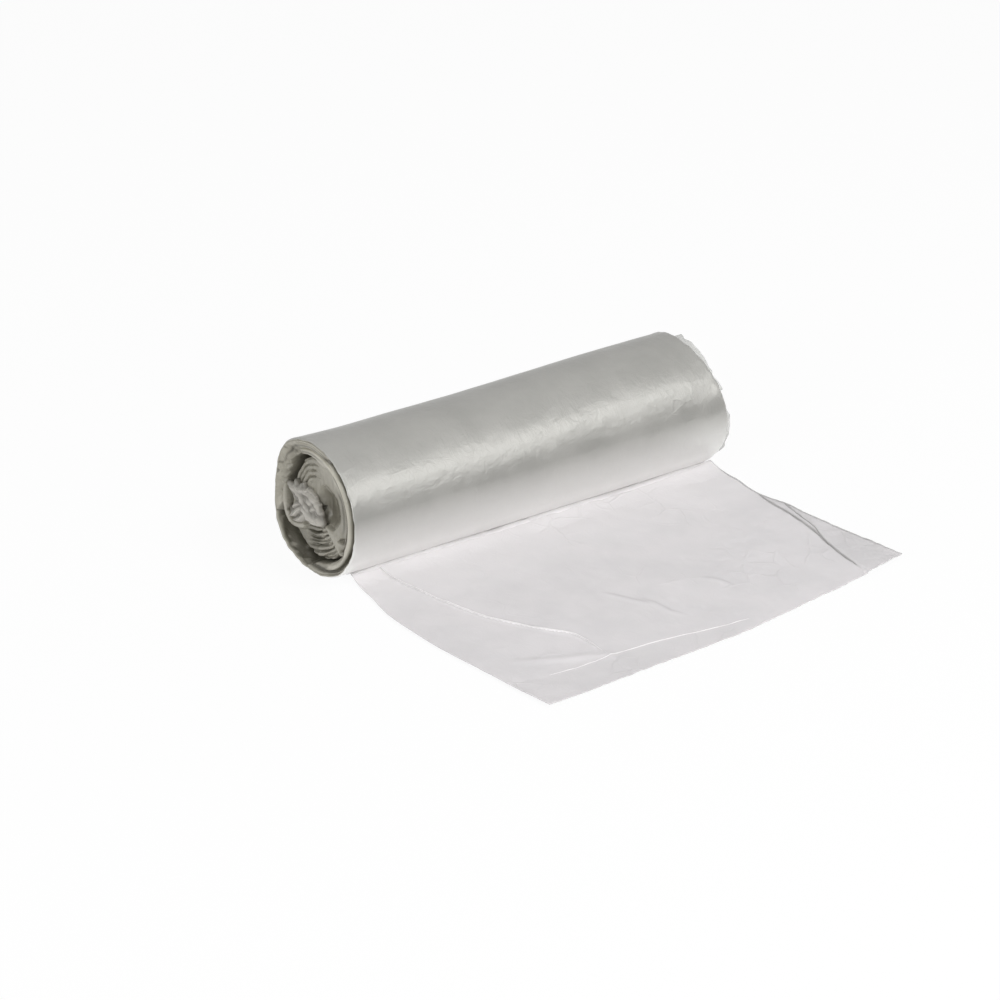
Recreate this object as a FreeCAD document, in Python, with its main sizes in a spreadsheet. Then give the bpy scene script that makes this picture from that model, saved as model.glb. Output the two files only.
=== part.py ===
"""A roll of bin bags wound on no core, lying on its side with the first bag drawn off in front.

The object is one continuous web of thin film: bags joined end to end at perforations, folded to a
quarter of their width, wound up and left loose at the leading end. It is one solid for that reason.

Frame: millimetres, +Z up. The roll's axis runs along X, and the drawn-off bag runs towards -Y.
The origin is the middle of the small flat on which the soft roll rests.
"""
import FreeCAD, Part

import math
import operator
import os

import Sketcher

from FreeCAD import Placement, Rotation, Vector

OUT = "parts"
NODE = "bag_roll"

# Every driving size in millimetres, or in degrees or a plain count where its note says so.
SIZES = (
    ("film_width", 254.0, "width of the folded web, which is the length of the roll"),
    ("roll_dia", 77.7, "diameter over the outer turns"),
    ("rest_width", 15.0, "width of the flat on which the soft roll rests"),
    ("lip_wall", 3.4, "thickness of the outer turns that stand proud at each end"),
    ("lip_bevel", 1.2, "slope inside the mouth of the lip"),
    ("band_wall", 2.2, "thickness of the turns just inside the lip"),
    ("band_drop", 2.4, "how far those turns stop short of the lip"),
    ("pack_drop", 9.0, "depth from the lip to the face of the wound pack"),
    ("slack_gap", 1.8, "open gap between the outer turns and the wound pack"),
    ("slack_depth", 6.0, "depth of that gap below the face of the pack"),
    ("turn_pitch", 0.105, "spacing of the bundles of turns, as a share of the pack's radius"),
    ("turn_wall", 0.6, "thickness of one bundle of turns, as a share of their spacing"),
    ("turn_rise", 3.0, "how far the bundles stand out of the pack's face"),
    ("turn_count", 4.1, "turns of the bundle, a plain number"),
    ("wave_height", 0.36, "how far a pleat pushes the bundle in and out, as a share of the spacing"),
    ("wave_count", 6.0, "pleats round one turn, a plain count"),
    ("wave_below", 0.45, "how much deeper the pleats are below the middle than at its height"),
    ("hollow_length", 0.74, "height of the crushed hollow, as a share of the pack's radius"),
    ("hollow_width", 0.58, "width of the hollow, as a share of the pack's radius"),
    ("hollow_depth", 7.0, "depth of the hollow below the pack's face"),
    ("hollow_out", 0.16, "distance of the hollow from the axis, as a share of the pack's radius"),
    ("knot_length", 1.2, "length of the crushed inner end, as a share of the pack's radius"),
    ("knot_height", 0.62, "height of the crushed inner end, as a share of the pack's radius"),
    ("knot_out", 0.3, "distance of its middle from the axis, as a share of the pack's radius"),
    ("knot_tilt", 10.0, "slope of the crushed inner end, in degrees"),
    ("knot_stop", 1.0, "how far the crushed end stops short of the lip"),
    ("tuft_length", 0.6, "length of the smaller tuft, as a share of the pack's radius"),
    ("tuft_height", 0.5, "height of the smaller tuft, as a share of the pack's radius"),
    ("tuft_out", 0.67, "distance of the tuft's middle from the axis, as a share of that radius"),
    ("tuft_stop", 2.4, "how far the tuft stops short of the lip"),
    ("tail_thick", 0.7, "thickness of the drawn-off bag, its folded layers together"),
    ("lead_reach", 14.0, "reach of the slack turn that fills the wedge under the roll"),
    ("lead_rise", 1.9, "height of that slack turn"),
    ("left_start", 11.0, "how far the bag's left edge starts inside the roll's end"),
    ("left_belly", 3.5, "how far the left edge's widest place lies inside the roll's end"),
    ("belly_reach", 82.0, "distance of that place from the roll's middle"),
    ("left_corner", 14.0, "how far the left front corner lies inside the roll's end"),
    ("tail_left", 194.0, "reach of the left front corner from the roll's middle"),
    ("neck_bow", 2.8, "how far the left edge bows inwards beside the roll"),
    ("belly_bow", 3.0, "how far the left edge bows outwards in front of that"),
    ("front_bow", 5.5, "how far the front edge bows outwards"),
    ("right_corner", 9.0, "how far the right front corner lies outside the roll's end"),
    ("tail_right", 173.5, "reach of the right front corner from the roll's middle"),
    ("corner_out", 6.5, "width of the turned corner at the right"),
    ("corner_back", 8.5, "length of the turned corner at the right"),
    ("right_waist", 2.5, "how far the right edge lies outside at the start of the side fold"),
    ("fold_reach", 70.0, "distance from the roll's middle at which the side fold starts"),
    ("right_start", 4.5, "how far the bag's right edge starts outside the roll's end"),
    ("fold_width", 25.0, "width of the side fold at the front edge"),
    ("fold_rise", 0.9, "height of the side fold above the sheet"),
    ("edge_land", 1.6, "how far the upper folds stay inside the sheet's edges"),
    ("panel_rise", 0.45, "thickness of the bag's upper fold, which ends short of the left edge"),
    ("panel_start", 29.0, "distance of the upper fold's edge from the roll's end, at the roll"),
    ("panel_end", 72.0, "distance of the upper fold's edge from the roll's end, in front"),
    ("panel_reach", 147.0, "reach of the bowed stretch of that edge"),
    ("panel_bow", 13.0, "how far that stretch bows outwards"),
    ("seal_left", 167.0, "reach of the bottom seal at its left end"),
    ("seal_right", 181.0, "reach of the bottom seal where it meets the front edge"),
    ("seal_end", 70.0, "distance to the right at which the seal meets the front edge"),
    ("seal_bow", 2.0, "how far the seal bows back"),
    ("seal_width", 2.2, "width of the bottom seal"),
    ("seal_rise", 0.35, "height of the bottom seal above the upper fold"),
    ("tear_pitch", 6.2, "spacing of the torn perforations along the front edge"),
    ("tear_width", 1.8, "width of one torn perforation"),
    ("tear_depth", 1.0, "depth of one torn perforation"),
)

FULL_TURN = 2 * math.pi
PLEATS_PER_TUFT = 6
PLEAT_DEPTH = 0.2
KNOT_BEARING = math.radians(174.0)
TUFT_BEARING = math.radians(204.0)


class Size:
    """A driving size or a sum of them: its value, and the expression that binds it to the sheet."""

    def __init__(self, value, text):
        self.value = float(value)
        self.text = text

    def joined(self, other, sign, action):
        """This size and another one, or a plain number, joined by one sign."""
        if not isinstance(other, Size):
            other = Size(other, "%g" % other)
        value = action(self.value, other.value)
        return Size(value, "(%s %s %s)" % (self.text, sign, other.text))

    def __add__(self, other):
        return self.joined(other, "+", operator.add)

    def __sub__(self, other):
        return self.joined(other, "-", operator.sub)

    def __mul__(self, other):
        return self.joined(other, "*", operator.mul)

    def __truediv__(self, other):
        return self.joined(other, "/", operator.truediv)

    def __neg__(self):
        return Size(-self.value, "(0 - %s)" % self.text)

    def __float__(self):
        return self.value


def root(size):
    """The square root of a size."""
    return Size(math.sqrt(size.value), "sqrt(%s)" % size.text)


def make_sheet(doc):
    """The spreadsheet of the driving sizes, and the sizes by alias."""
    sheet = doc.addObject("Spreadsheet::Sheet", "Sizes")
    for row, (alias, value, note) in enumerate(SIZES, start=1):
        sheet.set("A%d" % row, note)
        sheet.set("B%d" % row, str(value))
        sheet.setAlias("B%d" % row, alias)
    doc.recompute()
    return {alias: Size(sheet.get(alias), "Sizes." + alias) for alias, _, _ in SIZES}


def origin_plane(body, role):
    """One of a body's own origin planes."""
    return next(f for f in body.Origin.OriginFeatures if f.Role == role)


def new_sketch(body, name, role):
    """An empty sketch on one of the body's origin planes."""
    sketch = body.newObject("Sketcher::SketchObject", name)
    sketch.AttachmentSupport = [(origin_plane(body, role), "")]
    sketch.MapMode = "FlatFace"
    return sketch


def bind(sketch, constraint, size):
    """Adds a constraint to a sketch and binds it to the sheet."""
    index = sketch.addConstraint(constraint)
    sketch.setExpression("Constraints[%d]" % index, size.text)


def pin(sketch, index, end, corner):
    """Holds one end of a sketch edge at a corner. A coordinate of None lies on the axis."""
    across, up = corner
    if across is None:
        sketch.addConstraint(Sketcher.Constraint("PointOnObject", index, end, -2))
    else:
        bind(sketch, Sketcher.Constraint("DistanceX", index, end, float(across)), across)
    if up is None:
        sketch.addConstraint(Sketcher.Constraint("PointOnObject", index, end, -1))
    else:
        bind(sketch, Sketcher.Constraint("DistanceY", index, end, float(up)), up)


def flat_point(corner):
    """The place of a corner in its sketch."""
    across, up = corner
    return Vector(float(across or 0.0), float(up or 0.0), 0)


def bowed(start, end, bow):
    """An arc from start to end that bows to the left of its way by the given height."""
    chord = end - start
    aside = Vector(-chord.y, chord.x, 0).normalize()
    return Part.Arc(start, (start + end) / 2 + aside * bow, end)


def as_size(value):
    """A coordinate as a size, with None as nought."""
    return Size(0.0, "0") if value is None else value


def bow_radius(start, end, bow):
    """The radius of an arc between two corners that bows by a given height."""
    across = as_size(end[0]) - as_size(start[0])
    up = as_size(end[1]) - as_size(start[1])
    half_squared = (across * across + up * up) / 4
    height = Size(abs(bow.value), "abs(%s)" % bow.text)
    return (half_squared + height * height) / (height * 2)


def draw(sketch, corners, bows=None):
    """Draws a closed outline through corners, with bowed edges where a bow is given."""
    bows = bows or {}
    edges = []
    for k, corner in enumerate(corners):
        start = flat_point(corner)
        end = flat_point(corners[(k + 1) % len(corners)])
        curve = bowed(start, end, float(bows[k])) if k in bows else Part.LineSegment(start, end)
        index = sketch.addGeometry(curve, False)
        forward = sketch.getPoint(index, 1).distanceToPoint(start) < 1e-6
        edges.append((index, 1, 2) if forward else (index, 2, 1))
    for k, (index, first, last) in enumerate(edges):
        following, onward, _ = edges[(k + 1) % len(edges)]
        sketch.addConstraint(Sketcher.Constraint("Coincident", index, last, following, onward))
        pin(sketch, index, first, corners[k])
        if k in bows:
            radius = bow_radius(corners[k], corners[(k + 1) % len(corners)], bows[k])
            bind(sketch, Sketcher.Constraint("Radius", index, float(radius)), radius)


def pad(body, name, sketch, length, centred=False):
    """Adds a pad of a sketch to the body."""
    feature = body.newObject("PartDesign::Pad", name)
    feature.Profile = sketch
    feature.Midplane = centred
    feature.setExpression("Length", length.text)
    body.Tip = feature
    return feature


def axis_height(sizes):
    """Height of the roll's axis above the surface that it rests on."""
    radius = sizes["roll_dia"] / 2
    half_flat = sizes["rest_width"] / 2
    return root(radius * radius - half_flat * half_flat)


def add_roll(body, sizes):
    """The wound roll: a long round pad with a narrow flat under it."""
    half_flat = sizes["rest_width"] / 2
    sketch = new_sketch(body, "RollSection", "YZ_Plane")
    corners = [(half_flat, None), (-half_flat, None)]
    draw(sketch, corners, {0: -(axis_height(sizes) + sizes["roll_dia"] / 2)})
    pad(body, "Turns", sketch, sizes["film_width"], centred=True)


def front_corners(sizes):
    """The corners of the drawn-off bag on the floor, from the roll's right end round to the left."""
    half = sizes["film_width"] / 2
    corner_x = half + sizes["right_corner"]
    return {
        "right start": (half + sizes["right_start"], None),
        "left start": (sizes["left_start"] - half, None),
        "belly": (sizes["left_belly"] - half, -sizes["belly_reach"]),
        "left corner": (sizes["left_corner"] - half, -sizes["tail_left"]),
        "right corner": (corner_x, -sizes["tail_right"]),
        "turned corner": (
            corner_x + sizes["corner_out"],
            sizes["corner_back"] - sizes["tail_right"],
        ),
        "waist": (half + sizes["right_waist"], -sizes["fold_reach"]),
    }


def add_tail(body, sizes):
    """The drawn-off bag: its sheet, the slack turn at its root, the upper fold and the seal."""
    corners = front_corners(sizes)
    sheet = new_sketch(body, "TailOutline", "XY_Plane")
    bows = {1: sizes["neck_bow"], 2: -sizes["belly_bow"], 3: -sizes["front_bow"]}
    draw(sheet, list(corners.values()), bows)
    pad(body, "TailSheet", sheet, sizes["tail_thick"])

    lead = new_sketch(body, "LeadOutline", "XY_Plane")
    right, left = corners["right start"][0], corners["left start"][0]
    reach = -sizes["lead_reach"]
    half = sizes["film_width"] / 2
    draw(lead, [(half, None), (left, None), (left, reach), (half, reach)])
    pad(body, "SlackTurn", lead, sizes["lead_rise"])

    land = sizes["edge_land"]
    edge_x = sizes["panel_end"] - half
    fold_x = corners["right corner"][0] - sizes["fold_width"]
    panel = new_sketch(body, "UpperFoldOutline", "XY_Plane")
    outline = [
        (right - land * 2, None),
        (sizes["panel_start"] - half, None),
        (edge_x, -sizes["panel_reach"]),
        (edge_x, -(sizes["seal_left"] + land)),
        (sizes["seal_end"], -sizes["seal_right"]),
        (fold_x, land - sizes["tail_right"]),
        (corners["waist"][0] - land, -sizes["fold_reach"]),
    ]
    draw(panel, outline, {1: -sizes["panel_bow"]})
    pad(body, "UpperFold", panel, sizes["tail_thick"] + sizes["panel_rise"])

    fold = new_sketch(body, "SideFoldOutline", "XY_Plane")
    outline = [
        corners["waist"],
        (fold_x, land / 2 - sizes["tail_right"]),
        corners["right corner"],
        corners["turned corner"],
    ]
    draw(fold, outline)
    pad(body, "SideFold", fold, sizes["tail_thick"] + sizes["fold_rise"])

    seal = new_sketch(body, "SealOutline", "XY_Plane")
    seal_x = corners["left corner"][0] - land
    back = sizes["seal_width"]
    outline = [
        (seal_x, -sizes["seal_left"]),
        (sizes["seal_end"], -sizes["seal_right"]),
        (sizes["seal_end"], back - sizes["seal_right"]),
        (seal_x, back - sizes["seal_left"]),
    ]
    draw(seal, outline, {0: sizes["seal_bow"], 2: -sizes["seal_bow"]})
    rise = sizes["tail_thick"] + sizes["panel_rise"] + sizes["seal_rise"]
    pad(body, "BottomSeal", seal, rise)


def add_ends(body, sizes):
    """The stepped recess turned out of each end, where the outer turns stand proud of the pack."""
    axis = axis_height(sizes)
    half = sizes["film_width"] / 2
    lip = sizes["roll_dia"] / 2 - sizes["lip_wall"]
    band = lip - sizes["band_wall"]
    pack = band - sizes["slack_gap"]
    face = sizes["pack_drop"]
    gap = face + sizes["slack_depth"]
    mouth = -sizes["lip_bevel"]
    steps = [
        (mouth, lip + sizes["lip_bevel"] * 2),
        (sizes["lip_bevel"], lip),
        (sizes["band_drop"], lip),
        (sizes["band_drop"], band),
        (gap, band),
        (gap, pack),
        (face, pack),
        (face, None),
        (mouth, None),
    ]
    corners = [(depth - half, axis + as_size(out)) for depth, out in steps]
    sketch = new_sketch(body, "EndProfile", "XZ_Plane")
    draw(sketch, corners)
    line = Part.LineSegment(flat_point((-half, axis)), flat_point((None, axis)))
    index = sketch.addGeometry(line, True)
    pin(sketch, index, 1, (-half, axis))
    pin(sketch, index, 2, (None, axis))

    groove = body.newObject("PartDesign::Groove", "NearEnd")
    groove.Profile = sketch
    groove.ReferenceAxis = (sketch, ["Axis0"])
    groove.Angle = 360.0
    body.Tip = groove

    mirror = body.newObject("PartDesign::Mirrored", "FarEnd")
    mirror.Originals = [groove]
    mirror.MirrorPlane = (origin_plane(body, "YZ_Plane"), [""])
    body.Tip = mirror
    return groove, mirror


def placed(doc, name, shape):
    """A document object that holds one shape made by formula."""
    feature = doc.addObject("Part::Feature", name)
    feature.Shape = shape
    feature.Placement = Placement(Vector(0, 0, 0), Rotation())
    return feature


class RollEnd:
    """One end of the roll, with its places given as distances from the roll's axis."""

    def __init__(self, doc, sizes, name, side):
        self.doc = doc
        self.value = {alias: float(size) for alias, size in sizes.items()}
        self.axis = float(axis_height(sizes))
        self.name = name
        self.side = side
        v = self.value
        self.pack = v["roll_dia"] / 2 - v["lip_wall"] - v["band_wall"] - v["slack_gap"]
        self.pitch = self.pack * v["turn_pitch"]
        self.wall = self.pitch * v["turn_wall"]
        self.wave = self.pitch * v["wave_height"]

    def place(self, depth, across, up):
        """A point at a depth below the lip, to the front of the axis and above it."""
        end = self.side * (self.value["film_width"] / 2 - depth)
        return Vector(end, -across, self.axis + up)

    def turn_point(self, angle, offset):
        """A point of the wound film's edge, with the angle running inwards along the web."""
        v = self.value
        wound = self.pack - self.wall / 2 - self.wave - self.pitch * angle / FULL_TURN
        grown = self.wave * (angle + math.pi) / (FULL_TURN * v["turn_count"] + math.pi)
        grown *= 1.0 - v["wave_below"] * math.sin(angle)
        radius = wound + grown * math.sin(v["wave_count"] * angle) + offset
        return self.place(v["pack_drop"], -radius * math.cos(angle), radius * math.sin(angle))

    def turns(self):
        """The bundle of turns that stands out of the pack's face as a pleated spiral band."""
        v = self.value
        step = math.pi / v["wave_count"]
        count = round(FULL_TURN * v["turn_count"] / step)
        half = self.wall / 2
        edges = []
        for offset in (half, -half):
            marks = [self.turn_point(step * k / 2, offset) for k in range(2 * count + 1)]
            for k in range(0, 2 * count, 2):
                edges.append(Part.Arc(marks[k], marks[k + 1], marks[k + 2]).toShape())
        for angle in (0.0, count * step):
            edges.append(Part.makeLine(self.turn_point(angle, half), self.turn_point(angle, -half)))
        face = Part.Face(Part.Wire(Part.__sortEdges__(edges)))
        buried = v["slack_depth"] / 2
        face.translate(Vector(-self.side * buried, 0, 0))
        band = face.extrude(Vector(self.side * (buried + v["turn_rise"]), 0, 0))
        return placed(self.doc, self.name + "Turns", band)

    def ring(self, depth, middle, halves, share, lean):
        """One pleated outline of a tuft of crushed film, at a depth below the lip."""
        points = []
        for k in range(2 * PLEATS_PER_TUFT):
            angle = math.pi * k / PLEATS_PER_TUFT
            reach = share * (1.0 - PLEAT_DEPTH * (k % 2))
            along = halves[0] * reach * math.cos(angle)
            rise = halves[1] * reach * math.sin(angle)
            across = middle[0] + along * math.cos(lean) + rise * math.sin(lean)
            up = middle[1] - along * math.sin(lean) + rise * math.cos(lean)
            points.append(self.place(depth, across, up))
        return points

    def hollow(self):
        """The creased hollow beside the middle, as a tool to cut with."""
        v = self.value
        depth = v["pack_drop"] + v["hollow_depth"]
        middle = (self.pack * v["hollow_out"], 0.0)
        halves = (self.pack * v["hollow_width"] / 2, self.pack * v["hollow_length"] / 2)
        points = self.ring(depth, middle, halves, 1.0, 0.0)
        face = Part.Face(Part.makePolygon(points + points[:1]))
        return placed(self.doc, self.name + "Hollow", face.extrude(Vector(self.side * depth, 0, 0)))

    def crushed(self, label, part, bearing):
        """A tuft of crushed film: pleated outlines joined by sharp creases, smaller at the tip."""
        v = self.value
        out = self.pack * v[part + "_out"]
        stop = v[part + "_stop"]
        middle = (out * math.cos(bearing), out * math.sin(bearing))
        halves = (self.pack * v[part + "_length"] / 2, self.pack * v[part + "_height"] / 2)
        floor = v["pack_drop"] + v["hollow_depth"] / 2
        stations = (
            (floor, 0.8, -10.0),
            (stop + (floor - stop) * 0.5, 1.0, 0.0),
            (stop + (floor - stop) * 0.16, 0.86, 7.0),
            (stop, 0.5, 12.0),
        )
        rings = []
        for depth, share, twist in stations:
            lean = math.radians(v["knot_tilt"] + twist)
            rings.append(self.ring(depth, middle, halves, share, lean))
        facets = []
        count = len(rings[0])
        for lower, upper in zip(rings, rings[1:]):
            for k in range(count):
                n = (k + 1) % count
                facets.append((lower[k], lower[n], upper[n]))
                facets.append((lower[k], upper[n], upper[k]))
        for depth, points in ((floor, rings[0]), (stop, rings[-1])):
            hub = self.place(depth, middle[0], middle[1])
            facets += [(hub, points[k], points[(k + 1) % count]) for k in range(count)]
        faces = [Part.Face(Part.makePolygon([a, b, c, a])) for a, b, c in facets]
        solid = Part.Solid(Part.Shell(faces))
        if solid.Volume < 0:
            solid.reverse()
        return placed(self.doc, self.name + label, solid)

    def knot(self):
        """The crushed inner end of the web, which nearly reaches the lip."""
        return self.crushed("Knot", "knot", KNOT_BEARING)

    def tuft(self):
        """The smaller tuft below and behind it."""
        return self.crushed("Tuft", "tuft", TUFT_BEARING)


def torn_edge(doc, sizes):
    """The notches of the torn perforations along the front edge, as a tool to cut with."""
    v = {alias: float(size) for alias, size in sizes.items()}
    corners = front_corners(sizes)
    start, end = flat_point(corners["left corner"]), flat_point(corners["right corner"])
    front = bowed(start, end, -v["front_bow"]).toShape()
    count = int(front.Length / v["tear_pitch"])
    rise = v["tail_thick"] + v["panel_rise"] + v["seal_rise"] + v["fold_rise"]
    notches = []
    for k in range(1, count):
        length = front.Length * k / count
        tip_length = front.getParameterByLength(length)
        middle = front.valueAt(tip_length)
        along = front.tangentAt(tip_length)
        inwards = Vector(-along.y, along.x, 0)
        if inwards.y < 0:
            inwards = -inwards
        depth = v["tear_depth"] * (0.7 + 0.3 * (k % 3))
        points = [
            middle - along * v["tear_width"] / 2 - inwards * v["tear_depth"],
            middle + along * v["tear_width"] / 2 - inwards * v["tear_depth"],
            middle + inwards * depth,
        ]
        face = Part.Face(Part.makePolygon(points + points[:1]))
        face.translate(Vector(0, 0, -rise))
        notches.append(face.extrude(Vector(0, 0, 3 * rise)))
    return placed(doc, "TornPerforations", Part.Compound(notches))


def check(doc):
    """Stops the build if any feature failed."""
    for item in doc.Objects:
        bad = [word for word in item.State if word in ("Invalid", "Error")]
        if bad:
            raise RuntimeError("%s is %s" % (item.Name, bad))


def main():
    """Builds the document, checks it and writes the part."""
    os.makedirs(OUT, exist_ok=True)
    doc = FreeCAD.newDocument("bin_bag_roll")
    sizes = make_sheet(doc)

    body = doc.addObject("PartDesign::Body", "Web")
    add_roll(body, sizes)
    add_tail(body, sizes)
    doc.recompute()
    whole = body.Shape.Volume
    groove, mirror = add_ends(body, sizes)
    doc.recompute()
    if not mirror.Shape.Volume < groove.Shape.Volume < whole:
        raise RuntimeError("an end recess took nothing away")

    ends = [RollEnd(doc, sizes, "Near", -1), RollEnd(doc, sizes, "Far", 1)]
    hollows = doc.addObject("Part::Compound", "Openings")
    hollows.Links = [end.hollow() for end in ends] + [torn_edge(doc, sizes)]
    banded = doc.addObject("Part::MultiFuse", "Banded")
    banded.Shapes = [body] + [end.turns() for end in ends]
    opened = doc.addObject("Part::Cut", "Opened")
    opened.Base = banded
    opened.Tool = hollows
    node = doc.addObject("Part::MultiFuse", "BagRoll")
    node.Shapes = [opened] + [end.knot() for end in ends] + [end.tuft() for end in ends]
    node.Label = NODE
    node.Placement = Placement(Vector(0, 0, 0), Rotation())
    doc.recompute()
    check(doc)

    shape = node.Shape
    if shape.isNull() or not shape.isValid() or len(shape.Solids) != 1:
        raise RuntimeError("%s is not one sound solid: %d" % (NODE, len(shape.Solids)))
    shape.Solids[0].exportStep(os.path.join(OUT, NODE + ".step"))
    box = shape.BoundBox
    print("%s: %.1f x %.1f x %.1f mm" % (NODE, box.XLength, box.YLength, box.ZLength))
    print("volume %.0f mm3, %d faces" % (shape.Volume, len(shape.Faces)))
    mesh = shape.tessellate(0.07)
    print("about %d triangles" % len(mesh[1]))


main()
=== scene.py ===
"""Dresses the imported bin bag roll: the wound film, its two open ends and the drawn-off bag."""
import logging
import math
from dataclasses import dataclass
from enum import Enum
from typing import Callable, Sequence

import bmesh
import bpy
from mathutils import Matrix, Vector, noise


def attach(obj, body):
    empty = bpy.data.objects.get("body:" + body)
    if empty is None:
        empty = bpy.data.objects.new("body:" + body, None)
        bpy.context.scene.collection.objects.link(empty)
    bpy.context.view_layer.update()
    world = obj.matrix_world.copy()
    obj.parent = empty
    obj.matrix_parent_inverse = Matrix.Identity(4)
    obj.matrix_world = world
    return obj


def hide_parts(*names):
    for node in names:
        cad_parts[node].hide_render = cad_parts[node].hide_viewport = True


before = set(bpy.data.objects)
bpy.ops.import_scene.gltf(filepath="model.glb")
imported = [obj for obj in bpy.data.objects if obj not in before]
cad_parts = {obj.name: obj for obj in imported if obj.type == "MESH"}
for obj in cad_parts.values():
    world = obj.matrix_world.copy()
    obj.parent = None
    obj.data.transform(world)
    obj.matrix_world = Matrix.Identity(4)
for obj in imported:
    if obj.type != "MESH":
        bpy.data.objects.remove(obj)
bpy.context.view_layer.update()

LOG = logging.getLogger("bag_roll")

MM = 0.001
NODE = "bag_roll"
# Name of the mesh attribute that holds each point's share of painted shade, and on the drawn bag also of a
# greyer tone.
SHADE_AND_GREY = "inside"

Point = tuple[float, float]
Line = tuple[Point, ...]
Place = tuple[float, float, float]
Shape = bmesh.types.BMesh
Piece = bpy.types.Object
Film = bpy.types.Material
Node = bpy.types.Node
Socket = bpy.types.NodeSocket


class Side(Enum):
    """The two ends of the roll, by the sign of X."""

    NEAR = -1
    FAR = 1


def held(value: float, high: float = 1.0) -> float:
    """A value kept between nought and a highest one."""
    return min(high, max(0.0, value))


def ease(low: float, high: float, value: float) -> float:
    """A smooth step from nought at a low value to one at a high one."""
    share = held((value - low) / (high - low))
    return share * share * (3.0 - 2.0 * share)


def hump(away: float, width: float) -> float:
    """A smooth hump: one in its middle and nought well past its width."""
    return math.exp(-((away / width) ** 2))


def lobe(bearing: float, middle: float, spread: float) -> float:
    """How near a bearing is to a middle one, from nought to one, with the middle and spread in degrees."""
    return hump((math.degrees(bearing) - middle + 180.0) % 360.0 - 180.0, spread)


def wobble(place: Sequence[float], size: float, seed: float) -> float:
    """Smooth noise from about minus one to one, with swells of one size, shifted by a seed."""
    x, y, z = Vector(place)
    return noise.noise(Vector((x / size + seed, y / size - seed, z / size + 3.1 * seed)))


def circled(bearing: float, radius: float = 38.0, x: float = 0.0) -> Vector:
    """A place on a circle about the axis, where noise that runs round the roll is read."""
    return Vector((radius * math.cos(bearing), radius * math.sin(bearing), x))


def along(points: Sequence[Point], share: float) -> Point:
    """A point part of the way along a smooth line through some points.

    Args:
        points: the line's points, first to last.
        share: how far along, from nought to one, by the number of spans.

    Returns:
        The point on the line.
    """
    spans = len(points) - 1
    at = held(share) * spans
    k = min(int(at), spans - 1)
    t = at - k
    x, y = (
        0.5 * (2 * b + (c - a) * t + (2 * a - 5 * b + 4 * c - d) * t * t + (3 * b - a - 3 * c + d) * t**3)
        for a, b, c, d in zip(points[max(k - 1, 0)], points[k], points[k + 1], points[min(k + 2, spans)])
    )
    return x, y


def off_line(points: Sequence[Point], x: float, y: float) -> Place:
    """How far a place lies from a line of straight runs.

    Args:
        points: the line's points, first to last.
        x: the place along X.
        y: the place along Y.

    Returns:
        The distance, with its sign positive to the left of the line's way, the share of the
        line's runs at the nearest point, and the plain distance.
    """
    best = (math.inf, 0.0, math.inf)
    for k, ((ax, ay), (bx, by)) in enumerate(zip(points, points[1:])):
        run_x, run_y = bx - ax, by - ay
        share = held(((x - ax) * run_x + (y - ay) * run_y) / (run_x * run_x + run_y * run_y))
        gap_x, gap_y = x - ax - share * run_x, y - ay - share * run_y
        gap = math.hypot(gap_x, gap_y)
        if gap < best[2]:
            turn = run_x * gap_y - run_y * gap_x
            best = (math.copysign(gap, turn), (k + share) / (len(points) - 1), gap)
    return best


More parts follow.
